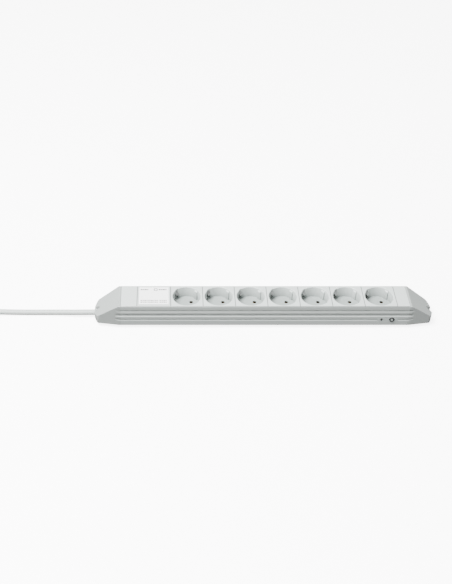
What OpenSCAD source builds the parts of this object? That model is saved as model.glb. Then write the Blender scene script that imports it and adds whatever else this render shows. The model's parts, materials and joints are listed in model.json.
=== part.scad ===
// Seven-outlet desk power strip, type CEE 7/3, with a mains lead and plug.
// X runs along the strip, -Y is the grooved front, +Z is up.
// The origin is the middle of the underside, which stands on the desk.

/* [Layout] */
// Number of socket outlets
outlets = 7; // [2:1:7]
// Distance from one outlet to the next
pitch = 45; // [44:0.5:46]
// Length of the rating label module
label_len = 47; // [46:1:60]
// Length of the blank plate at the cord's end
blank_left_len = 23; // [20:1:40]
// Length of the blank plate at the breaker's end
blank_right_len = 17.5; // [17:0.5:40]

/* [Housing] */
// Width of the extruded housing
body_w = 45; // [45:0.5:46]
// Height of the strip
body_h = 40; // [40:0.5:41]
// Height of the bevelled base under the front and back walls
base_h = 5.5; // [5:0.5:7]
// How far the base is set in on each side
base_inset = 6.8; // [6:0.1:8]
// Thickness of the housing's side walls between the grooves
wall_t = 1.9; // [1.9:0.05:2]
// Thickness of the housing's floor
floor_t = 1.8; // [1.6:0.1:1.8]

/* [End caps] */
// Length of a cap's sloping part
cap_len = 35.5; // [33:0.5:36]
// Length of a cap's level edge beside the blank plate
cap_ledge = 2.5; // [2:0.5:3]
// How far the slope falls for each millimetre of length
cap_fall = 0.72; // [0.7:0.01:0.76]
// Half the width of a cap where its side meets the nose
cap_tip_half = 18; // [17:0.1:18.5]
// Width of the open slot in the nose
slot_w = 5.5; // [5:0.1:6]
// Depth of the slot from the nose
slot_len = 8; // [7:0.5:9]

/* [Outlets] */
// Diameter of an outlet's recess
recess_d = 39; // [38.9:0.05:39.1]
// Depth of an outlet's recess
recess_depth = 17; // [16.5:0.5:17.5]
// Distance between an outlet's two pin holes
pin_span = 19; // [18.9:0.1:19.1]
// Diameter of a pin hole in the outlet's floor
pin_hole_d = 5.6; // [5.2:0.1:6]

/* [Lead] */
// Diameter of the mains lead
cord_d = 8; // [8:0.1:8.2]
// Length of the straight runs in the tied hank
hank_run = 126; // [124:2:130]

/* [Hidden] */
$fn = 64;
eps = 0.02;
gap = 0.15;                    // half the seam between two modules
half_w = body_w / 2;
lip_t = 1.2;                   // housing wall beside the module plates
plate_t = 3.5;
plate_z = body_h - plate_t;
plate_half = half_w - lip_t - 0.1;
inner_half = half_w - wall_t;
// each groove in the walls: top and bottom (both below the top edge), depth, height of its ledge
grooves = [[6.2, 11.4, 0.9, 3.9], [13.2, 19, 1.15, 1.2], [22.6, 26.4, 1, 1.5]];

housing_len = blank_left_len + label_len + outlets * pitch + blank_right_len;
x_left = -housing_len / 2;
x_label = x_left + blank_left_len;
x_first = x_label + label_len;
x_last = x_first + outlets * pitch;
x_right = housing_len / 2;
slope_x = x_right + cap_ledge;  // where a cap's slope starts
nose_x = slope_x + cap_len;

// outlet interior
pin_off = pin_span / 2 / sqrt(2);
recess_r = recess_d / 2;
recess_z = body_h - recess_depth;
cup_r = recess_r + 0.8;
cup_floor = 1.2;
cup_z = recess_z - cup_floor;
clip_w = 5;
clip_t = 0.9;
clip_dirs = [135, -45];
ridge_dirs = [45, 225];
skirt_x = 12;
skirt_y = 14.5;
tray_top = floor_t + 1.1;
bus_y = pin_off + 3.38;
bus_t = 1;
sleeve_r = 3.2;
sleeve_bore_r = 2.45;

// breaker in the front wall
breaker_x = x_last - 5;
breaker_z = 16;
neck_r = 2.5;
button_r = 1.7;
collar_r = 3.8;
front_y = -half_w;
plaque = [28, 7.6, 1];
plaque_x = breaker_x - 6;

// lead: outlet in the left cap, then a route of chosen points along the desk
cord_r = cord_d / 2;
exit_y = 2.5;
exit_z = 7.5;
cord_sides = 10;
clamp_screw_y = [exit_y - 6.4, exit_y + 6.4];
clamp_screw_x = -213.5;
lead_route = [
    [-210, 2.5, 7.5], [-225, 2.5, 7.5], [-240, 2.5, 7.5], [-255, 2.8, 7.1], [-270, 3.6, 6.3],
    [-285, 4.8, 5.3], [-300, 5.7, 4.5], [-315, 6.1, 4.1], [-330, 6.2, 4], [-350, 6.4, 4],
    [-375, 7.2, 4], [-400, 8.5, 4], [-425, 9, 4]
];
hank_x = -425 - hank_run / 2;   // middle of the hank
hank_y = -15;
fold_r = 24;                   // centreline radius of the hank's folds
layers = 3;
hank_h = layers * cord_d + 1.2;
tie_w = 12;
tie_t = 1;
pinch_half = cord_d + 0.6;     // half the hank's width under its tie
plug_route = [
    [-425, -39, 21], [-413, -35, 22], [-404, -26, 24], [-401, -15, 26], [-404, -4, 28],
    [-413, 5, 29.2], [-425, 9, 29.6], [-437, 7, 30], [-449, 1, 31], [-460, -6, 32],
    [-471, -12, 33.2], [-480, -14.6, 34], [-488, -15, 34.2]
];
plug_x = -539.5;
plug_z = hank_h;
grip_r = 19.5;
grip_h = 18;
face_r = 18.4;
boot_len = 32;
pin_len = 19;
pin_r = 2.4;

// ---- shared shapes ----------------------------------------------------------

// a box from its low corner to its high corner
module block(low, high) {
    translate(low) cube(high - low);
}

// a Y-Z outline pushed along X from x0 to x1
module along_x(x0, x1) {
    translate([x0, 0, 0])
        rotate([90, 0, 90])
            linear_extrude(x1 - x0) children();
}

// an X-Z outline pushed along Y from y0 to y1
module along_y(y0, y1) {
    translate([0, y1, 0])
        rotate([90, 0, 0])
            linear_extrude(y1 - y0) children();
}

// both sides of the strip
module both_sides() {
    children();
    mirror([0, 1, 0]) children();
}

// outline of one groove on the +Y wall, open to the outside
module groove_outline(g) {
    top = body_h - g[0];
    low = body_h - g[1];
    floor_y = half_w - g[2];
    polygon([
        [half_w + 1, top],
        [floor_y, top - 0.3],
        [floor_y, low + g[3]],
        [half_w, low],
        [half_w + 1, low]
    ]);
}

module grooves_along(x0, x1) {
    both_sides()
        for (g = grooves)
            along_x(x0, x1) groove_outline(g);
}

// outer cross section of the housing, without its grooves
module body_section() {
    corner = lip_t;
    polygon([
        [-half_w + base_inset, 0], [half_w - base_inset, 0],
        [half_w, base_h], [half_w, body_h - corner], [half_w - corner, body_h - corner],
        [half_w - corner, body_h], [-half_w + corner, body_h],
        [-half_w + corner, body_h - corner], [-half_w, body_h - corner], [-half_w, base_h]
    ]);
    for (side = [-1, 1])
        translate([side * (half_w - corner), body_h - corner]) circle(corner);
}

// inside of the housing: a channel, a ledge for the plates and a snap groove
module channel_section() {
    polygon([
        [-half_w + base_inset + 0.6, floor_t], [half_w - base_inset - 0.6, floor_t],
        [inner_half, base_h + 0.8], [inner_half, 27.5], [inner_half + 0.6, 27.5],
        [inner_half + 0.6, 29.5], [inner_half, 29.5], [inner_half, plate_z],
        [half_w - lip_t, plate_z], [half_w - lip_t, body_h + 1],
        [-half_w + lip_t, body_h + 1], [-half_w + lip_t, plate_z],
        [-inner_half, plate_z], [-inner_half, 29.5], [-inner_half - 0.6, 29.5],
        [-inner_half - 0.6, 27.5], [-inner_half, 27.5], [-inner_half, base_h + 0.8]
    ]);
}

// a module's cover plate from x0 to x1, with four snap legs under it
module plate(x0, x1) {
    leg_w = 4;
    block([x0 + gap, -plate_half, plate_z], [x1 - gap, plate_half, body_h]);
    both_sides()
        for (x = [x0 + 1, x1 - 1 - leg_w])
            snap_leg(x, leg_w);
}

module snap_leg(x, w) {
    outer = inner_half - 0.15;
    along_x(x, x + w)
        polygon([
            [outer - 1.2, plate_z + eps], [outer - 1.2, 26.4], [outer, 26.4], [outer, 27.3],
            [outer + 0.5, 28.3], [outer + 0.5, 29.2], [outer, 29.2], [outer, plate_z + eps]
        ]);
}

// ---- housing and end caps ---------------------------------------------------

module profile_housing() {
    color("#C9CFCB")
        difference() {
            along_x(x_left, x_right) body_section();
            along_x(x_left - 1, x_right + 1) channel_section();
            grooves_along(x_left - 1, x_right + 1);
            // pocket and hole for the breaker
            block(
                [plaque_x - plaque[0] / 2 - 0.1, front_y - 1, breaker_z - plaque[1] / 2 - 0.1],
                [plaque_x + plaque[0] / 2 + 0.1, front_y + plaque[2], breaker_z + plaque[1] / 2 + 0.1]
            );
            translate([breaker_x, front_y + 5, breaker_z])
                rotate([90, 0, 0]) cylinder(r = neck_r + 0.1, h = 10);
            // countersunk holes for the cap screws
            for (x = [x_left + 7, x_right - 7])
                translate([x, 0, -1]) {
                    cylinder(r = 1.7, h = 10);
                    translate([0, 0, 1]) cylinder(r1 = 3.1, r2 = 1.7, h = 1.4);
                }
        }
}

// The cap functions work from x = 0, where the slope starts, towards +x.
nose_r = 33;
nose_cx = cap_len - nose_r;
taper = atan2(half_w - cap_tip_half, 30);
corner_r = 4;                  // rounding between the nose and a tapered side

// plan of a cap: tapered sides that end in a wide arc
module cap_plan_solid() {
    far_half = half_w - (cap_len + 5) * tan(taper);
    intersection() {
        linear_extrude(body_h)
            polygon([
                [-cap_ledge, half_w], [0, half_w], [cap_len + 5, far_half],
                [cap_len + 5, -far_half], [0, -half_w], [-cap_ledge, -half_w]
            ]);
        translate([nose_cx, 0, -1]) cylinder(r = nose_r, h = body_h + 2, $fn = 128);
    }
}

// what the rounding takes off the two corners of a cap's nose
module cap_corners() {
    out = [sin(taper), cos(taper)];
    near = half_w * cos(taper) - corner_r;
    away = sqrt(pow(nose_r - corner_r, 2) - pow(near - nose_cx * sin(taper), 2));
    middle = near * out + (nose_cx * cos(taper) + away) * [cos(taper), -sin(taper)];
    nose_out = (middle - [nose_cx, 0]) / (nose_r - corner_r);
    reach = corner_r * 1.1 / (1 + out * nose_out);
    for (m = [0, 1])
        mirror([0, m, 0])
            translate([0, 0, -1])
                difference() {
                    linear_extrude(body_h + 2)
                        polygon([
                            middle, middle + corner_r * 1.02 * out,
                            middle + reach * (out + nose_out), middle + corner_r * 1.02 * nose_out
                        ]);
                    translate([middle[0], middle[1], -1]) cylinder(r = corner_r, h = body_h + 4, $fn = 96);
                }
}

// X-Z outline under the slope, lowered by t
module slope_outline(t, x0, x1, low) {
    top0 = body_h - t;
    drop = t * sqrt(1 + pow(cap_fall, 2)) - t;
    polygon([
        [x0, low], [x0, top0], [0, top0], [0, top0 - drop],
        [x1, top0 - drop - x1 * cap_fall], [x1, low]
    ]);
}

// the bevel under a cap, along its sides and round its nose
module cap_base_cut() {
    both_sides()
        translate([0, half_w, 0])
            rotate([0, 0, -taper])
                along_x(-cap_ledge - 10, cap_len + 10)
                    polygon([[-base_inset, -1], [-base_inset, 0], [0, base_h], [3, base_h], [3, -1]]);
    translate([nose_cx, 0, 0])
        rotate_extrude($fn = 128)
            polygon([
                [nose_r - base_inset, -1], [nose_r - base_inset, 0],
                [nose_r, base_h], [nose_r + 10, base_h], [nose_r + 10, -1]
            ]);
}

// hollow of a cap, open towards the housing
module cap_hollow() {
    in0 = half_w - 2.2;
    in1 = cap_tip_half - 1.2;
    solid_x = cap_len - 11;
    intersection() {
        along_y(-30, 30) slope_outline(2.2, -cap_ledge - 1, solid_x, 2.4);
        linear_extrude(body_h)
            polygon([
                [-cap_ledge - 1, in0], [0, in0], [solid_x, in1],
                [solid_x, -in1], [0, -in0], [-cap_ledge - 1, -in0]
            ]);
        along_x(-cap_ledge - 2, cap_len)
            polygon([
                [-half_w + base_inset + 1, 2.4], [half_w - base_inset - 1, 2.4],
                [in0, base_h + 2], [in0, body_h], [-in0, body_h], [-in0, base_h + 2]
            ]);
    }
}

// tongues that slide into the housing, and the tab that takes the cap's screw
module cap_tongues() {
    both_sides()
        block([-cap_ledge - 9, inner_half - 1.6, 10], [1, inner_half - 0.1, 25.8]);
    difference() {
        block([-cap_ledge - 11, -5.5, floor_t + 0.1], [1, 5.5, 5]);
        translate([-cap_ledge - 7, 0, 0]) cylinder(r = 1.3, h = 10);
    }
}

// slot_low is where the slot in the nose ends below; under 0 it goes right through
module end_cap(slot_low) {
    difference() {
        intersection() {
            cap_plan_solid();
            along_y(-30, 30) slope_outline(0, -cap_ledge, cap_len + 1, 0);
            along_x(-cap_ledge, cap_len + 1) body_section();
        }
        cap_base_cut();
        cap_corners();
        cap_hollow();
        grooves_along(-cap_ledge - 1, 4.5);
        translate([cap_len - slot_len + slot_w / 2, 0, slot_low]) {
            block([0, -slot_w / 2, 0], [slot_len, slot_w / 2, body_h]);
            cylinder(r = slot_w / 2, h = body_h);
        }
        // the slot's flared mouth
        translate([0, 0, slot_low])
            linear_extrude(body_h)
                polygon([
                    [cap_len - 4, slot_w / 2], [cap_len + 0.5, slot_w / 2 + 3.2],
                    [cap_len + 0.5, -slot_w / 2 - 3.2], [cap_len - 4, -slot_w / 2]
                ]);
    }
    cap_tongues();
}

module end_cap_blank() {
    color("#CDD3CF")
        translate([slope_x, 0, 0]) end_cap(-1);
}

module end_cap_cable() {
    color("#CDD3CF") {
        difference() {
            translate([-slope_x, 0, 0]) mirror([1, 0, 0]) end_cap(13);
            translate([-nose_x - 1, exit_y, exit_z])
                rotate([0, 90, 0]) cylinder(r = 5.05, h = 20);
            // room for the grommet's collar
            translate([-227.6, exit_y, exit_z])
                rotate([0, 90, 0]) cylinder(r = 6.25, h = 10.4);
        }
        // seats for the cord clamp
        for (y = clamp_screw_y)
            difference() {
                block([-217, y - 2.2, 2], [-210, y + 2.2, 7.4]);
                translate([clamp_screw_x, y, 3]) cylinder(r = 1.2, h = 10, $fn = 32);
            }
    }
}

module end_cap_screws() {
    color("silver")
        for (x = [x_left + 7, x_right - 7])
            translate([x, 0, 0]) {
                difference() {
                    cylinder(r1 = 2.95, r2 = 1.6, h = 1.35);
                    translate([-2, -0.3, -1]) cube([4, 0.6, 1.6]);
                }
                translate([0, 0, 1.3]) cylinder(r = 1.3, h = 3.5);
            }
}

// ---- plates and outlets -----------------------------------------------------

module blank_plate_left() {
    color("#DCE1DE") plate(x_left, x_label);
}

module blank_plate_right() {
    color("#DCE1DE") plate(x_last, x_right);
}

label_size = [41.6, 36, 0.4];
label_y = 1;

module label_module() {
    mid = (x_label + x_first) / 2;
    color("#DCE1DE")
        difference() {
            plate(x_label, x_first);
            translate([mid, label_y, body_h])
                cube([label_size[0] + 0.2, label_size[1] + 0.2, 2 * label_size[2]], center = true);
        }
}

module label_plate() {
    color("white")
        translate([(x_label + x_first) / 2, label_y, body_h - label_size[2] / 2])
            cube(label_size, center = true);
}

// X of outlet number i
function outlet_x(i) = x_first + (i - 0.5) * pitch;

module socket_insert(i) {
    color("#DEE3E0")
        translate([outlet_x(i), 0, 0]) {
            difference() {
                union() {
                    plate(-pitch / 2, pitch / 2);
                    translate([0, 0, cup_z]) cylinder(r = cup_r, h = plate_z - cup_z + 1, $fn = 96);
                }
                translate([0, 0, recess_z]) cylinder(r = recess_r, h = recess_depth + 1, $fn = 96);
                translate([0, 0, body_h - 0.6])
                    cylinder(r1 = recess_r, r2 = recess_r + 0.7, h = 0.7, $fn = 96);
                for (s = [-1, 1])
                    translate([s * pin_off, s * pin_off, 0]) cylinder(d = pin_hole_d, h = body_h);
                for (a = clip_dirs)
                    rotate([0, 0, a])
                        block([18.6, -clip_w / 2 - 0.4, 24.5], [cup_r + 0.05, clip_w / 2 + 0.4, body_h + 1]);
            }
            for (a = ridge_dirs)
                rotate([0, 0, a])
                    difference() {
                        block([recess_r - 1.6, -2.5, recess_z - 0.5], [recess_r + 0.4, 2.5, body_h - 2]);
                        translate([recess_r - 1.6, 0, body_h - 2])
                            rotate([0, 45, 0]) cube([1.6, 6, 1.6], center = true);
                    }
        }
}

// a strip bent into a bracket, whose two fingers press on a plug's earth contacts
module earth_clip(i) {
    low = cup_z - 0.3 - clip_t;
    half = [
        [21.4, low], [21.4, 26], [18.1, 31.6], [21.2, 36], [20.5, 36.4],
        [17, 31.6], [20.5, 25.8], [20.5, low + clip_t]
    ];
    color("#B9BCBE")
        translate([outlet_x(i), 0, 0])
            rotate([0, 0, clip_dirs[0]])
                along_y(-clip_w / 2, clip_w / 2)
                    polygon(concat(half, [for (k = [len(half) - 1 : -1 : 0]) [-half[k][0], half[k][1]]]));
}

// ---- contacts and wiring ----------------------------------------------------

// one bar with a split sleeve under each outlet; side is 1 for live, -1 for neutral
module busbar(side, x0, x1) {
    difference() {
        union() {
            block(
                [x0, side * bus_y - bus_t / 2, 6],
                [x1, side * bus_y + bus_t / 2, 15]
            );
            for (i = [1 : outlets])
                translate([outlet_x(i) + side * pin_off, side * pin_off, 5])
                    cylinder(r = sleeve_r, h = 15, $fn = 32);
        }
        for (i = [1 : outlets])
            translate([outlet_x(i) + side * pin_off, side * pin_off, 4]) {
                cylinder(r = sleeve_bore_r, h = 17, $fn = 32);
                translate([-0.4, -side * 2 - 2, 0]) cube([0.8, 4, 17]);
            }
    }
}

terminal_x0 = x_label + 5;
terminal_x1 = terminal_x0 + 30;
pole_y = bus_y;                // the two outer poles line up with the busbars
pole_z = 10;

module live_busbar() {
    color("#C8A24A") busbar(1, x_first + 2, x_last - 12);
}

module neutral_busbar() {
    color("#C8A24A") {
        busbar(-1, x_first + 2, x_last - 16);
        block(
            [terminal_x1 - 8, -bus_y - bus_t / 2, pole_z - 1.2],
            [x_first + 3, -bus_y + bus_t / 2, pole_z + 1.2]
        );
    }
}

module earth_bar() {
    top = cup_z - 0.3 - clip_t;
    color("#C8A24A")
        along_y(-bus_t / 2, bus_t / 2)
            polygon([
                [terminal_x1 - 8, pole_z - 1.2], [x_first - 4, pole_z - 1.2],
                [x_first - 4, top - 4], [x_last - 18, top - 4], [x_last - 18, top],
                [x_first - 7, top], [x_first - 7, pole_z + 1.2], [terminal_x1 - 8, pole_z + 1.2]
            ]);
}

// walls round the contacts of one outlet, with notches for the bars and the earth clip
module tray_walls() {
    difference() {
        block([-skirt_x, -skirt_y, tray_top - eps], [skirt_x, skirt_y, cup_z - 0.1]);
        block([-skirt_x + 1, -skirt_y + 1, 0], [skirt_x - 1, skirt_y - 1, cup_z + 1]);
        for (s = [-1, 1])
            translate([0, s * bus_y, 10]) cube([40, 3, 11], center = true);
        translate([0, 0, 13]) cube([40, 2, 16], center = true);
        rotate([0, 0, clip_dirs[0]])
            translate([0, 0, 21]) cube([50, clip_w + 0.8, 4], center = true);
    }
}

// the tray that the contacts stand in
module insulating_tray() {
    color("#E9E6DA") {
        block([x_first - 2, -skirt_y, floor_t + 0.1], [x_last - 9, skirt_y, tray_top]);
        for (i = [1 : outlets])
            translate([outlet_x(i), 0, 0]) tray_walls();
    }
}

module pole_positions() {
    for (y = [-pole_y, 0, pole_y])
        translate([0, y, pole_z]) children();
}

module terminal_block() {
    color("#EFEFEA")
        difference() {
            block([terminal_x0, -15, 3], [terminal_x1, 15, 17]);
            pole_positions()
                block([terminal_x0 - 1, -3.2, -3.2], [terminal_x1 + 1, 3.2, 3.2]);
            pole_positions()
                for (x = [terminal_x0 + 5, terminal_x1 - 5])
                    translate([x, 0, 0]) cylinder(r = 2.3, h = 20, $fn = 32);
        }
}

module terminal_clamps() {
    color("#C8A24A")
        pole_positions()
            difference() {
                block([terminal_x0 + 1, -3.1, -3.1], [terminal_x1 - 1, 3.1, 3.1]);
                translate([terminal_x0, 0, 0])
                    rotate([0, 90, 0]) cylinder(r = 1.6, h = 40, $fn = 32);
                for (x = [terminal_x0 + 5, terminal_x1 - 5])
                    translate([x, 0, 0]) cylinder(r = 1.25, h = 20, $fn = 32);
            }
}

module terminal_screws() {
    color("silver")
        pole_positions()
            for (x = [terminal_x0 + 5, terminal_x1 - 5])
                translate([x, 0, 1.8])
                    difference() {
                        union() {
                            cylinder(r = 1.2, h = 3, $fn = 32);
                            translate([0, 0, 1.5]) cylinder(r = 2, h = 3, $fn = 32);
                        }
                        translate([-3, -0.3, 3.7]) cube([6, 0.6, 2]);
                    }
}

wire_r = 1.2;

// a conductor from the end of the lead to a pole of the terminal block
module lead_wire(start_y, start_z, y) {
    tube([
        [-209.9, exit_y + start_y, exit_z + start_z],
        [-205, exit_y + start_y, exit_z + start_z],
        [-202, exit_y + 0.8 * start_y + 0.1 * (y - exit_y), exit_z + start_z],
        [-188, 0.9 * y + 0.1 * exit_y, pole_z],
        [-185, y, pole_z],
        [terminal_x0 + 8, y, pole_z]
    ], wire_r);
}

module wire_live() {
    color("saddlebrown") lead_wire(2.3, 1.2, pole_y);
}

module wire_neutral() {
    color("royalblue") lead_wire(-2.3, 1.2, -pole_y);
}

module wire_earth() {
    color("yellowgreen") lead_wire(0, -1.2, 0);
}

back_lane = [17.8, 9];         // Y and Z of the wire behind the outlets

module wire_to_breaker() {
    color("saddlebrown")
        tube([
            [terminal_x1 - 8, pole_y, pole_z], [terminal_x1 + 2, pole_y, pole_z],
            [terminal_x1 + 4, pole_y + 0.8, pole_z - 0.1],
            [x_first + 1, back_lane[0] - 0.8, back_lane[1]],
            [x_first + 4, back_lane[0], back_lane[1]],
            [x_last - 8, back_lane[0], back_lane[1]],
            [breaker_x - 0.5, back_lane[0] - 1, back_lane[1] + 0.5],
            [breaker_x + 2, back_lane[0] - 4, back_lane[1] + 1.5],
            [breaker_x + 2.5, 8, breaker_z - 2.5], [breaker_x + 2.5, 3, breaker_z - 2.5],
            [breaker_x + 2.5, -0.6, breaker_z - 2.5]
        ], wire_r);
}

module wire_from_breaker() {
    color("saddlebrown")
        tube([
            [x_last - 11.9, bus_y, 10.5], [x_last - 10.4, bus_y - 0.3, 10.8],
            [breaker_x - 3.8, bus_y - 1.7, 12], [breaker_x - 2.7, bus_y - 4, 14.2],
            [breaker_x - 2.5, 3, 16.2], [breaker_x - 2.5, 1, 16.6], [breaker_x - 2.5, -0.6, 16.6]
        ], wire_r);
}

// ---- lead entry -------------------------------------------------------------

module cord_grommet() {
    color("#A9AFAC")
        translate([-218, exit_y, exit_z])
            rotate([0, -90, 0])
                difference() {
                    union() {
                        cylinder(r1 = 4.6, r2 = 5.4, h = 8);
                        translate([0, 0, 7.5]) cylinder(r = 6.1, h = 1.9);
                        translate([0, 0, 9]) cylinder(r = 5, h = 11.6);
                    }
                    translate([0, 0, -1]) cylinder(r = cord_r, h = 30);
                }
}

module cord_clamp() {
    color("#E3E6E4")
        difference() {
            block([-217, exit_y - 8.6, 7.5], [-210, exit_y + 8.6, 13]);
            translate([-220, exit_y, exit_z])
                rotate([0, 90, 0]) cylinder(r = cord_r, h = 20);
            for (y = clamp_screw_y)
                translate([clamp_screw_x, y, 0]) cylinder(r = 1.5, h = 30, $fn = 32);
        }
}

module clamp_screws() {
    color("silver")
        for (y = clamp_screw_y)
            translate([clamp_screw_x, y, 0]) {
                translate([0, 0, 4]) cylinder(r = 1.1, h = 9.1, $fn = 32);
                difference() {
                    translate([0, 0, 13]) cylinder(r = 2.2, h = 1.8, $fn = 32);
                    translate([-3, -0.35, 14]) cube([6, 0.7, 2]);
                }
            }
}

// ---- resettable breaker -----------------------------------------------------

module towards_front(y) {
    translate([breaker_x, y, breaker_z]) rotate([90, 0, 0]) children();
}

module breaker_body() {
    color("#2B2B2B")
        difference() {
            block([breaker_x - 5, -20.4, breaker_z - 6], [breaker_x + 5, -0.7, breaker_z + 3.8]);
            towards_front(-10) cylinder(r = button_r + 0.6, h = 20, $fn = 32);
        }
}

module breaker_neck() {
    color("#2B2B2B")
        towards_front(-20.4)
            difference() {
                cylinder(r = neck_r, h = 3, $fn = 48);
                translate([0, 0, -1]) cylinder(r = button_r + 0.06, h = 6, $fn = 48);
            }
}

module breaker_collar() {
    color("#161616")
        towards_front(front_y)
            difference() {
                union() {
                    cylinder(r = collar_r, h = 0.6, $fn = 48);
                    translate([0, 0, 0.6]) cylinder(r1 = collar_r, r2 = collar_r - 0.6, h = 0.5, $fn = 48);
                }
                translate([0, 0, -1]) cylinder(r = neck_r, h = 4, $fn = 48);
            }
}

module breaker_button() {
    color("#8D9290")
        towards_front(-15) {
            cylinder(r = button_r, h = 8.8, $fn = 48);
            translate([0, 0, 3.8]) cylinder(r = button_r + 0.4, h = 1.5, $fn = 48);
        }
}

module breaker_plaque() {
    color("#C2C8C5")
        difference() {
            translate([plaque_x, front_y + plaque[2] / 2, breaker_z])
                cube([plaque[0], plaque[2], plaque[1]], center = true);
            towards_front(front_y + 5) cylinder(r = neck_r + 0.1, h = 10, $fn = 48);
        }
}

// ---- lead, hank and plug ----------------------------------------------------

function unit(v) = v / norm(v);

// direction of a route at point i
function heading(p, i) = unit(p[min(i + 1, len(p) - 1)] - p[max(i - 1, 0)]);

// a round tube of n sides swept through the points of a route
module tube(p, r, n = 8) {
    last = len(p) - 1;
    rings = [
        for (i = [0 : last])
            let (
                t = heading(p, i),
                side = unit(cross([0, 0, 1], t)),
                up = cross(t, side)
            )
            for (k = [0 : n - 1])
                p[i] + r * (cos(360 * k / n) * side + sin(360 * k / n) * up)
    ];
    walls = [
        for (i = [0 : last - 1], k = [0 : n - 1])
            let (a = i * n + k, b = i * n + (k + 1) % n)
            each [[a, a + n, b], [a + n, b + n, b]]
    ];
    start = [for (k = [0 : n - 1]) k];
    end = [for (k = [n - 1 : -1 : 0]) last * n + k];
    polyhedron(rings, concat(walls, [start, end]));
}

module supply_cord() {
    color("#D3D6D4") tube(lead_route, cord_r, cord_sides);
}

module plug_lead() {
    color("#D3D6D4") tube(plug_route, cord_r, cord_sides);
}

// the tied hank: a bar with round ends, drawn in from both sides where the tie holds it
module cord_hank() {
    fold_out = fold_r + cord_r + 0.3;
    color("#D3D6D4")
        translate([hank_x, hank_y, 0])
            difference() {
                union() {
                    block([-hank_run / 2, -fold_out, 0], [hank_run / 2, fold_out, hank_h]);
                    for (s = [-1, 1])
                        translate([s * hank_run / 2, 0, 0]) cylinder(r = fold_out, h = hank_h, $fn = 96);
                }
                both_sides()
                    translate([0, 0, -1])
                        linear_extrude(hank_h + 2)
                            polygon([
                                [-tie_w, pinch_half], [tie_w, pinch_half],
                                [hank_run / 2 - 2, fold_out + 1], [-hank_run / 2 + 2, fold_out + 1]
                            ]);
                block([-tie_w / 2 - 0.3, -40, -1], [tie_w / 2 + 0.3, 40, tie_t + 0.1]);
            }
}

module cord_tie() {
    out = pinch_half + 0.1 + tie_t;
    color("#3A3D3E")
        translate([hank_x, hank_y, 0])
            difference() {
                block([-tie_w / 2, -out, 0], [tie_w / 2, out, hank_h + 0.1 + tie_t]);
                block(
                    [-tie_w, -pinch_half - 0.1, tie_t],
                    [tie_w, pinch_half + 0.1, hank_h + 0.1]
                );
            }
}

module plug_body() {
    color("#1C1C1D")
        translate([plug_x, hank_y, plug_z])
            difference() {
                union() {
                    cylinder(r = grip_r, h = grip_h);
                    translate([0, 0, grip_h - 1]) cylinder(r = face_r, h = 18.5);
                    translate([grip_r - 4, 0, grip_h / 2])
                        rotate([0, 90, 0]) cylinder(r1 = 8.5, r2 = 5.2, h = boot_len + 4);
                }
                // seats of the earth contacts, and the guide grooves
                for (s = [-1, 1]) {
                    translate([s * face_r, 0, grip_h + 20]) cube([5, 7, 40], center = true);
                    translate([0, s * face_r, grip_h + 20]) cube([5.6, 3.4, 40], center = true);
                    translate([0, s * pin_span / 2, grip_h]) cylinder(r = pin_r, h = 40);
                }
            }
}

module plug_pins() {
    color("silver")
        translate([plug_x, hank_y, plug_z + grip_h])
            for (s = [-1, 1])
                translate([0, s * pin_span / 2, 0]) {
                    cylinder(r = pin_r, h = 17.5 + pin_len - 1);
                    translate([0, 0, 17.5 + pin_len - 1]) cylinder(r1 = pin_r, r2 = pin_r - 1, h = 1);
                }
}

module plug_earth_contacts() {
    color("silver")
        translate([plug_x, hank_y, plug_z + grip_h])
            for (s = [-1, 1])
                translate([s * (face_r - 1.6), 0, 8.75])
                    cube([1.8, 5, 17.5], center = true);
}

profile_housing();
end_cap_cable();
end_cap_blank();
end_cap_screws();
blank_plate_left();
blank_plate_right();
label_module();
label_plate();
socket_insert(1);  // socket_insert_1
socket_insert(2);  // socket_insert_2
socket_insert(3);  // socket_insert_3
socket_insert(4);  // socket_insert_4
socket_insert(5);  // socket_insert_5
socket_insert(6);  // socket_insert_6
socket_insert(7);  // socket_insert_7
earth_clip(1);  // earth_clip_1
earth_clip(2);  // earth_clip_2
earth_clip(3);  // earth_clip_3
earth_clip(4);  // earth_clip_4
earth_clip(5);  // earth_clip_5
earth_clip(6);  // earth_clip_6
earth_clip(7);  // earth_clip_7
live_busbar();
neutral_busbar();
earth_bar();
insulating_tray();
terminal_block();
terminal_clamps();
terminal_screws();
wire_live();
wire_neutral();
wire_earth();
wire_to_breaker();
wire_from_breaker();
cord_grommet();
cord_clamp();
clamp_screws();
breaker_body();
breaker_neck();
breaker_collar();
breaker_button();
breaker_plaque();
supply_cord();
cord_hank();
cord_tie();
plug_lead();
plug_body();
plug_pins();
plug_earth_contacts();
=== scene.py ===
"""Looks of a seven-outlet desk power strip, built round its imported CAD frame. Metres throughout."""
import json
import math

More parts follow.
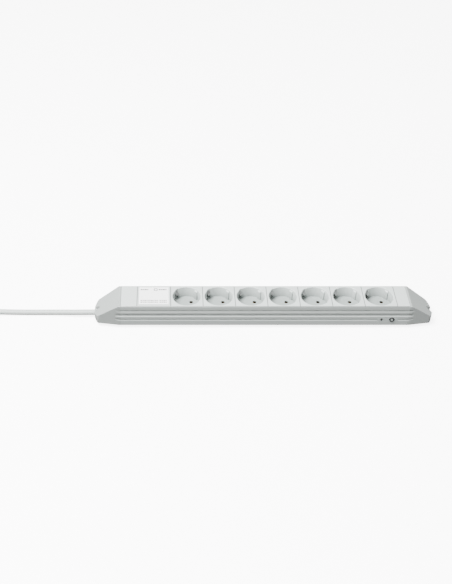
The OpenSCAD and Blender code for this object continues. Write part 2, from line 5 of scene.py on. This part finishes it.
import bmesh
import bpy
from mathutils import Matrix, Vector


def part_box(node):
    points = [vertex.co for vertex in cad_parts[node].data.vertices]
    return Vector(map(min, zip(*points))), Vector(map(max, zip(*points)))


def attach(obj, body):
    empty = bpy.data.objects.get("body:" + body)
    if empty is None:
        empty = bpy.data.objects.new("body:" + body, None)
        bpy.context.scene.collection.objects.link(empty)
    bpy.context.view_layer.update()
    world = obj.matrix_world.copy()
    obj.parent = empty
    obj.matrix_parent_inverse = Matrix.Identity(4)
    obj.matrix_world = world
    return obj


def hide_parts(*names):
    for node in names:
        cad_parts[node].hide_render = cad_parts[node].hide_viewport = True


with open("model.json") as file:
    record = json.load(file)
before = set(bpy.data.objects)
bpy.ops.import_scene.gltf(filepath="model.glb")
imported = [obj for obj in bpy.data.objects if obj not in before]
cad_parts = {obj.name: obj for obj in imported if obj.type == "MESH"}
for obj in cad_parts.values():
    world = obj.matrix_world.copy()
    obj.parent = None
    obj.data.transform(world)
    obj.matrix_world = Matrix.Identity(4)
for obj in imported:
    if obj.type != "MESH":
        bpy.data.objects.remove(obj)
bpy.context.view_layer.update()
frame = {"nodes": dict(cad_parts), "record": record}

MM = 0.001
STRIP = "strip"            # the body that everything but the reset button rides on
MODULES = [
    "blank_plate_left", "label_module", *(f"socket_insert_{k}" for k in range(1, 8)),
    "blank_plate_right",
]

HOUSING_LOW, HOUSING_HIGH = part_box("profile_housing")
TOP_Z = HOUSING_HIGH[2]
FRONT_Y = HOUSING_LOW[1]
FIRST_SEAM_X = (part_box("label_module")[1][0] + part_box("socket_insert_1")[0][0]) / 2


# ---- camera -------------------------------------------------------------------------------------

LENS_MM = 60.380137
SENSOR_MM = 36
CAMERA_SHIFT = 0.1045
CAMERA_X = FIRST_SEAM_X - 7.9 * MM
CAMERA_DISTANCE = 1.3576             # from the strip's top front edge
CAMERA_RISE = math.radians(41.44)    # of the line from that edge to the camera
CAMERA_TILT = math.radians(40.58)    # below the horizon


def add_camera():
    data = bpy.data.cameras.new("camera")
    data.lens = LENS_MM
    data.sensor_width = SENSOR_MM
    data.shift_x = CAMERA_SHIFT
    data.clip_end = 20
    camera = bpy.data.objects.new("camera", data)
    camera.location = (
        CAMERA_X,
        FRONT_Y - CAMERA_DISTANCE * math.cos(CAMERA_RISE),
        TOP_Z + CAMERA_DISTANCE * math.sin(CAMERA_RISE),
    )
    camera.rotation_euler = (math.pi / 2 - CAMERA_TILT, 0, 0)
    bpy.context.scene.collection.objects.link(camera)
    bpy.context.scene.camera = camera


# ---- lead ---------------------------------------------------------------------------------------

CORD_D = 8 * MM
# The routes and the hank's measures are in millimetres.
LEAD_ROUTE = [
    (-210, 2.5, 7.5), (-225, 2.5, 7.5), (-240, 2.5, 7.5), (-255, 2.8, 7.1), (-270, 3.6, 6.3),
    (-285, 4.8, 5.3), (-300, 5.7, 4.5), (-315, 6.1, 4.1), (-330, 6.2, 4), (-350, 6.4, 4),
    (-375, 7.2, 4), (-400, 8.5, 4), (-425, 9, 4),
]
PLUG_ROUTE = [
    (-425, -39, 21), (-413, -35, 22), (-404, -26, 24), (-401, -15, 26), (-404, -4, 28),
    (-413, 5, 29.2), (-425, 9, 29.6), (-437, 7, 30), (-449, 1, 31), (-460, -6, 32),
    (-471, -12, 33.2), (-480, -14.6, 34), (-488, -15, 34.2),
]
BOOT_REACH = (-500, -15, 34.2)       # the lead runs on into the plug's boot
HALF_RUN = 63
HANK_X = LEAD_ROUTE[-1][0] - HALF_RUN
HANK_Y = -15
FOLD_R = 24
LAYERS = 3
FIRST_LAYER_Z = 4
LAYER_RISE = 8.2
STEPS = 12                 # along each straight run, and round each fold
TIED_HALF = 4.3            # from the hank's middle line to a run where the tie holds it
TIE_LIFT = 1.2             # the tie passes under the lowest runs
TIE_REACH = 14             # how far along the runs it lifts them
LINE_STEPS = 4             # between each two points of a route
TUBE_SIDES = 20


def smooth(t):
    t = min(max(t, 0), 1)
    return t * t * (3 - 2 * t)


def run_point(x, side, z):
    """A point on a straight run of the hank, x from its middle, on its +Y or -Y side."""
    y = TIED_HALF + (FOLD_R - TIED_HALF) * smooth(abs(x) / HALF_RUN)
    return (HANK_X + x, HANK_Y + side * y, z + TIE_LIFT * math.exp(-((x / TIE_REACH) ** 2)))


def fold_point(end, turn, z):
    """A point on a fold at the runs' left (-1) or right (1) end, a share of half a turn on."""
    a = math.pi * (turn - end / 2)
    return (
        HANK_X + end * HALF_RUN + FOLD_R * math.cos(a),
        HANK_Y + FOLD_R * math.sin(a),
        z,
    )


def hank_points():
    """The turns from the end of LEAD_ROUTE to the start of PLUG_ROUTE, one layer on another."""
    points = []
    xs = [HALF_RUN * (1 - 2 * k / STEPS) for k in range(STEPS + 1)]
    turns = [k / STEPS for k in range(1, STEPS)]
    for layer in range(LAYERS):
        z = FIRST_LAYER_Z + layer * LAYER_RISE
        points += [run_point(x, 1, z) for x in xs]
        points += [fold_point(-1, t, z) for t in turns]
        points += [run_point(-x, -1, z) for x in xs]
        if layer < LAYERS - 1:
            points += [fold_point(1, t, z + LAYER_RISE * smooth(t)) for t in turns]
    return points


def catmull_rom(points, steps):
    """A smooth line through all the points, with steps short pieces between each two."""
    line = []
    padded = [points[0], *points, points[-1]]
    for p0, p1, p2, p3 in zip(padded, padded[1:], padded[2:], padded[3:]):
        for k in range(steps):
            t = k / steps
            line.append(
                0.5 * (
                    2 * p1 + (p2 - p0) * t + (2 * p0 - 5 * p1 + 4 * p2 - p3) * t * t
                    + (3 * p1 - p0 - 3 * p2 + p3) * t ** 3
                )
            )
    line.append(points[-1])
    return line


def new_piece(name, bm):
    """An object from a bmesh, with its normals facing out."""
    bmesh.ops.recalc_face_normals(bm, faces=bm.faces)
    mesh = bpy.data.meshes.new(name)
    bm.to_mesh(mesh)
    bm.free()
    obj = bpy.data.objects.new(name, mesh)
    bpy.context.scene.collection.objects.link(obj)
    return obj


def tube(name, line, radius):
    """A smooth round tube along a line, closed at both ends."""
    bm = bmesh.new()
    rings = []
    turns = [2 * math.pi * k / TUBE_SIDES for k in range(TUBE_SIDES)]
    side = Vector((0, 0, 1)).cross(line[1] - line[0]).normalized()
    for i, p in enumerate(line):
        along = (line[min(i + 1, len(line) - 1)] - line[max(i - 1, 0)]).normalized()
        side = (side - along * side.dot(along)).normalized()
        up = along.cross(side)
        rings.append(
            [bm.verts.new(p + radius * (math.cos(a) * side + math.sin(a) * up)) for a in turns]
        )
    for near, far in zip(rings, rings[1:]):
        for k in range(TUBE_SIDES):
            bm.faces.new((near[k - 1], near[k], far[k], far[k - 1])).smooth = True
    bm.faces.new(rings[0])
    bm.faces.new(rings[-1][::-1])
    return new_piece(name, bm)


def add_lead():
    """The whole lead as one tube: along the desk, round the hank and into the plug's boot."""
    route = LEAD_ROUTE[:-1] + hank_points()[:-1] + PLUG_ROUTE + [BOOT_REACH]
    line = catmull_rom([Vector(p) * MM for p in route], LINE_STEPS)
    lead = tube("mains_lead", line, CORD_D / 2)
    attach(lead, STRIP)
    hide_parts("supply_cord", "cord_hank", "plug_lead")
    return lead


# ---- materials ----------------------------------------------------------------------------------

RELIEF = 0.0001            # depth of the grain in a surface


def new_material(name):
    material = bpy.data.materials.new(name)
    material.use_nodes = True
    return material, material.node_tree.nodes, material.node_tree.links


def add_node(nodes, kind, **values):
    """A new node, with values for its inputs or its settings."""
    node = nodes.new(kind)
    for key, value in values.items():
        if key in node.inputs:
            node.inputs[key].default_value = value
        else:
            setattr(node, key, value)
    return node


def ramp(nodes, links, value, start, end, at_start, at_end):
    """Maps a value from one range to another, held at both ends."""
    node = add_node(nodes, "ShaderNodeMapRange")
    node.inputs["From Min"].default_value = start
    node.inputs["From Max"].default_value = end
    node.inputs["To Min"].default_value = at_start
    node.inputs["To Max"].default_value = at_end
    links.new(value, node.inputs["Value"])
    return node.outputs["Result"]


def math_node(nodes, links, operation, first, second=None):
    node = add_node(nodes, "ShaderNodeMath", operation=operation)
    links.new(first, node.inputs[0])
    if isinstance(second, float):
        node.inputs[1].default_value = second
    elif second is not None:
        links.new(second, node.inputs[1])
    return node.outputs[0]


def surface(nodes, links, share, dark, light, rough, spread, bump):
    """Colour, gloss and relief that vary with share."""
    shader = nodes["Principled BSDF"]
    tint = add_node(nodes, "ShaderNodeMix", data_type="RGBA")
    tint.inputs[6].default_value = (*dark, 1)
    tint.inputs[7].default_value = (*light, 1)
    links.new(share["colour"], tint.inputs[0])
    links.new(tint.outputs[2], shader.inputs["Base Color"])
    gloss = ramp(nodes, links, share["grain"], 0, 1, rough - spread, rough + spread)
    links.new(gloss, shader.inputs["Roughness"])
    relief = add_node(nodes, "ShaderNodeBump", Strength=bump, Distance=RELIEF)
    links.new(share["grain"], relief.inputs["Height"])
    links.new(relief.outputs["Normal"], shader.inputs["Normal"])


def moulded(name, color, rough=0.45, grain=9000, bump=0.02, mottle=0.02):
    """Plastic or paint: a colour that varies a little, and a fine grain in the surface."""
    material, nodes, links = new_material(name)
    where = add_node(nodes, "ShaderNodeTexCoord").outputs["Object"]
    clouds = add_node(nodes, "ShaderNodeTexNoise", Scale=35.0, Detail=4.0, Roughness=0.6)
    fine = add_node(nodes, "ShaderNodeTexNoise", Scale=float(grain), Detail=2.0, Roughness=0.5)
    for noise in (clouds, fine):
        links.new(where, noise.inputs["Vector"])
    share = {"colour": clouds.outputs["Fac"], "grain": fine.outputs["Fac"]}
    dark = [c * (1 - mottle) for c in color]
    light = [min(c * (1 + mottle), 1) for c in color]
    surface(nodes, links, share, dark, light, rough, 0.05, bump)
    return material


def metal(name, color, rough=0.3):
    """Rolled or plated metal with faint lines along it."""
    material, nodes, links = new_material(name)
    nodes["Principled BSDF"].inputs["Metallic"].default_value = 1.0
    where = add_node(nodes, "ShaderNodeTexCoord").outputs["Object"]
    scale = add_node(nodes, "ShaderNodeMapping", Scale=(1, 1, 30))
    lines = add_node(nodes, "ShaderNodeTexNoise", Scale=400.0, Detail=3.0, Roughness=0.6)
    links.new(where, scale.inputs["Vector"])
    links.new(scale.outputs["Vector"], lines.inputs["Vector"])
    share = {"colour": lines.outputs["Fac"], "grain": lines.outputs["Fac"]}
    surface(nodes, links, share, [c * 0.9 for c in color], color, rough, 0.08, 0.05)
    return material


INK = moulded("grey_ink", (0.03, 0.03, 0.03), rough=0.6)
MATERIALS = {
    "housing": moulded(
        "powder_coat_grey", (0.355, 0.385, 0.372), rough=0.42, grain=4000, bump=0.05
    ),
    "cap": moulded("cap_grey", (0.30, 0.324, 0.313), rough=0.48, grain=6000, bump=0.04),
    "insert": moulded("insert_grey", (0.50, 0.54, 0.525), rough=0.4),
    "label": moulded("label_film", (0.97, 0.97, 0.97), rough=0.5, mottle=0.005),
    "steel": metal("zinc_plated_steel", (0.72, 0.73, 0.74)),
    "contact_steel": metal("spring_steel", (0.45, 0.46, 0.46), rough=0.35),
    "brass": metal("contact_brass", (0.42, 0.31, 0.14)),
    "insulator": moulded("insulator", (0.75, 0.74, 0.68)),
    "wire_brown": moulded("wire_brown", (0.20, 0.09, 0.04)),
    "wire_blue": moulded("wire_blue", (0.05, 0.16, 0.45)),
    "wire_green": moulded("wire_green", (0.30, 0.50, 0.06)),
    "grommet": moulded("grommet_grey", (0.43, 0.465, 0.447), rough=0.6),
    "breaker_black": moulded("breaker_black", (0.012, 0.012, 0.013), rough=0.35),
    "button": moulded("button_grey", (0.30, 0.33, 0.32), rough=0.4),
    "plaque": moulded("plaque_grey", (0.365, 0.40, 0.387), rough=0.45),
    "cord": moulded("lead_sheath", (0.43, 0.465, 0.447), rough=0.5, grain=2500, bump=0.08),
    "tie": moulded("tie_black", (0.03, 0.03, 0.03), rough=0.5),
    "plug_black": moulded("plug_black", (0.022, 0.022, 0.024), rough=0.5, grain=5000, bump=0.1),
    "plated": metal("plated_pin", (0.78, 0.78, 0.76), rough=0.2),
}


# ---- painted shade in recesses, at seams and on rails -------------------------------------------

# Colours of painted shade: darker in the recesses, and at the seams and the walls' top faces.
PAINTED_CUP_SHADE = (0.05, 0.065, 0.06)
PAINTED_EDGE_SHADE = (0.1, 0.11, 0.105)
CUP_FLOOR_Z = 23.5 * MM
CUP_RIM = 3 * MM           # below the top, where the painted shade starts
RAIL_DEPTH = 0.6 * MM


def paint_shade_in(slot, axis, shade, share_of):
    """Paints shade over a slot's colour, by a share made from one object coordinate."""
    tree = MATERIALS[slot].node_tree
    nodes, links = tree.nodes, tree.links
    parts = add_node(nodes, "ShaderNodeSeparateXYZ")
    links.new(add_node(nodes, "ShaderNodeTexCoord").outputs["Object"], parts.inputs["Vector"])
    share = share_of(nodes, links, parts.outputs[axis])
    colour = nodes["Principled BSDF"].inputs["Base Color"]
    mixed = add_node(nodes, "ShaderNodeMix", data_type="RGBA")
    mixed.inputs[7].default_value = (*shade, 1)
    links.new(share, mixed.inputs[0])
    links.new(colour.links[0].from_socket, mixed.inputs[6])
    links.new(mixed.outputs[2], colour)


def painted_cup_shade(nodes, links, z):
    """Painted shade in a recess: from nothing at its rim to over half at its floor, and nothing above
    the rim.
    """
    rim = TOP_Z - CUP_RIM
    deep = ramp(nodes, links, z, CUP_FLOOR_Z, rim, 0.55, 0)
    below = ramp(nodes, links, z, rim, rim + 2 * MM, 1, 0)
    return math_node(nodes, links, "MULTIPLY", deep, below)


def painted_seam_shade(nodes, links, x):
    """Painted shade close to the seams between the modules."""
    nearest = None
    for module in MODULES:
        offset = math_node(nodes, links, "SUBTRACT", x, float(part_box(module)[0][0]))
        away = math_node(nodes, links, "ABSOLUTE", offset)
        nearest = away if nearest is None else math_node(nodes, links, "MINIMUM", nearest, away)
    return ramp(nodes, links, nearest, 0.35 * MM, 0.65 * MM, 0.85, 0)


def painted_rail_shade(nodes, links, z):
    """Painted shade on the narrow top faces of the walls."""
    low = TOP_Z - RAIL_DEPTH
    return ramp(nodes, links, z, low, low + 0.2 * MM, 0, 0.75)


# ---- print --------------------------------------------------------------------------------------

INK_T = 0.05 * MM
DASHES_MM = [2.6, 1.7, 3.1, 1.2, 2.2, 3.6, 1.5]
DASH_GAP = 0.6 * MM
TOP_LINE_H = 2.2 * MM
SMALL_LINES = {0.785: 1.5 * MM, 0.885: 1.9 * MM}     # share of the label's depth, and height
SQUARE_HALF = 2.1 * MM
SQUARE_LINE = 1 * MM
SIGN_IN = 5.6 * MM         # from the plaque's left edge
SIGN_MM = [(-0.9, -2.5), (0.9, -2.5), (0.9, 0), (2.7, 0), (0, 2.7), (-2.7, 0), (-0.9, 0)]


BOX_FACES = (
    (0, 2, 3, 1), (4, 5, 7, 6), (0, 1, 5, 4), (2, 6, 7, 3), (0, 4, 6, 2), (1, 3, 7, 5),
)


def box_into(bm, low, high):
    """A box between two corners; bit k of a corner's number picks low or high on axis k."""
    corners = [
        bm.verts.new([(low, high)[(k >> axis) & 1][axis] for axis in range(3)]) for k in range(8)
    ]
    for face in BOX_FACES:
        bm.faces.new([corners[k] for k in face])


def add_label_print():
    """Plain dashes in place of the label's lines of print, and a small open square."""
    low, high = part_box("label_plate")
    wide, deep = high[0] - low[0], high[1] - low[1]
    bm = bmesh.new()

    def bar(x0, x1, y, height):
        box_into(bm, (x0, y - height / 2, high[2]), (x1, y + height / 2, high[2] + INK_T))

    def line(start, end, down, height):
        """Dashes from start to end across the label, at a share of its depth from the back."""
        x, y, k = low[0] + start * wide, high[1] - down * deep, 0
        stop = low[0] + end * wide
        while x < stop:
            dash = DASHES_MM[k % len(DASHES_MM)] * MM
            bar(x, min(x + dash, stop), y, height)
            x += dash + DASH_GAP
            k += 1

    for start, end in ((0.05, 0.32), (0.66, 0.94)):
        line(start, end, 0.14, TOP_LINE_H)
    for start, end in ((0.05, 0.66), (0.69, 0.95)):
        for down, height in SMALL_LINES.items():
            line(start, end, down, height)
    x, y = low[0] + 0.56 * wide, high[1] - 0.14 * deep
    for side in (-SQUARE_HALF, SQUARE_HALF):
        bar(x - SQUARE_HALF, x + SQUARE_HALF, y + side, SQUARE_LINE)
        bar(x + side - SQUARE_LINE / 2, x + side + SQUARE_LINE / 2, y, 2 * SQUARE_HALF)
    return new_piece("label_print", bm)


def add_breaker_sign():
    """A small plain arrow on the plaque beside the breaker."""
    low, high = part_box("breaker_plaque")
    x, y, z = low[0] + SIGN_IN, low[1], (low[2] + high[2]) / 2
    bm = bmesh.new()
    front = [bm.verts.new((x + a * MM, y - INK_T, z + b * MM)) for a, b in SIGN_MM]
    back = [bm.verts.new((x + a * MM, y, z + b * MM)) for a, b in SIGN_MM]
    bm.faces.new(front)
    bm.faces.new(back[::-1])
    for k in range(len(SIGN_MM)):
        bm.faces.new((front[k - 1], front[k], back[k], back[k - 1]))
    return new_piece("breaker_sign", bm)


# ---- carried-over CAD nodes ---------------------------------------------------------------------

EDGE_MM = {
    "profile_housing": 0.2, "end_cap_cable": 0.5, "end_cap_blank": 0.5,
    "blank_plate_left": 0.4, "blank_plate_right": 0.4, "label_module": 0.5,
    **{f"socket_insert_{k}": 0.35 for k in range(1, 8)},
    "plug_body": 0.8,
}


def soften(obj, width):
    """Gives a CAD node's edges a small real radius, with modifiers only."""
    weld = obj.modifiers.new("weld", "WELD")
    weld.merge_threshold = 1e-6
    flat = obj.modifiers.new("flat", "DECIMATE")
    flat.decimate_type = "DISSOLVE"
    flat.angle_limit = math.radians(0.5)
    edge = obj.modifiers.new("edge", "BEVEL")
    edge.width = width
    edge.segments = 2
    edge.limit_method = "ANGLE"
    edge.angle_limit = math.radians(30)
    edge.use_clamp_overlap = True
    edge.harden_normals = False


def dress_nodes():
    slots = {s["node"]: s["material_slot"] for s in frame["record"]["subparts"]}
    for name, obj in frame["nodes"].items():
        obj.data.materials.clear()
        obj.data.materials.append(MATERIALS[slots[name]])
    for name, width in EDGE_MM.items():
        soften(frame["nodes"][name], width * MM)


# ---- floor and light ----------------------------------------------------------------------------

FLOOR_SIZE = 12
FLOOR_GLOW = 6.0
SKY = 0.54
LIGHTS = {                 # place, size, watts
    "key": ((-0.8, -0.45, 1.9), 1.3, 225),
    "fill": ((0.2, -1.25, 0.5), 1.0, 1.6),
}


def add_floor():
    """A pale floor that glows for the camera, and so keeps only a faint shadow."""
    material, nodes, _ = new_material("pale_floor")
    shader = nodes["Principled BSDF"]
    shader.inputs["Base Color"].default_value = (0.95, 0.95, 0.95, 1)
    shader.inputs["Roughness"].default_value = 0.8
    shader.inputs["Emission Color"].default_value = (1, 1, 1, 1)
    shader.inputs["Emission Strength"].default_value = FLOOR_GLOW
    bpy.ops.mesh.primitive_plane_add(size=FLOOR_SIZE, location=(0, 0, 0))
    floor = bpy.context.object
    floor.name = "floor"
    floor.data.materials.append(material)
    floor.visible_diffuse = False
    floor.visible_glossy = False


def add_light():
    """An even sky and two soft round lights, both aimed at the origin."""
    world = bpy.data.worlds.new("studio")
    world.use_nodes = True
    world.node_tree.nodes["Background"].inputs["Color"].default_value = (1, 1, 1, 1)
    world.node_tree.nodes["Background"].inputs["Strength"].default_value = SKY
    bpy.context.scene.world = world
    for name, (place, size, watts) in LIGHTS.items():
        data = bpy.data.lights.new(name, "AREA")
        data.shape = "DISK"
        data.size = size
        data.energy = watts
        light = bpy.data.objects.new(name, data)
        light.location = place
        light.rotation_euler = (-Vector(place)).to_track_quat("-Z", "Y").to_euler()
        bpy.context.scene.collection.objects.link(light)


# ---- the scene ----------------------------------------------------------------------------------

add_camera()
lead = add_lead()
lead.data.materials.append(MATERIALS["cord"])
# Painted shade: darker down each recess, beside the seams between modules, and on the walls' narrow
# top faces.
paint_shade_in("insert", "Z", PAINTED_CUP_SHADE, painted_cup_shade)
paint_shade_in("insert", "X", PAINTED_EDGE_SHADE, painted_seam_shade)
paint_shade_in("housing", "Z", PAINTED_EDGE_SHADE, painted_rail_shade)
for piece, slot in ((add_label_print(), "label"), (add_breaker_sign(), "plaque")):
    piece.data.materials.append(INK)
    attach(piece, STRIP)
dress_nodes()
add_floor()
add_light()
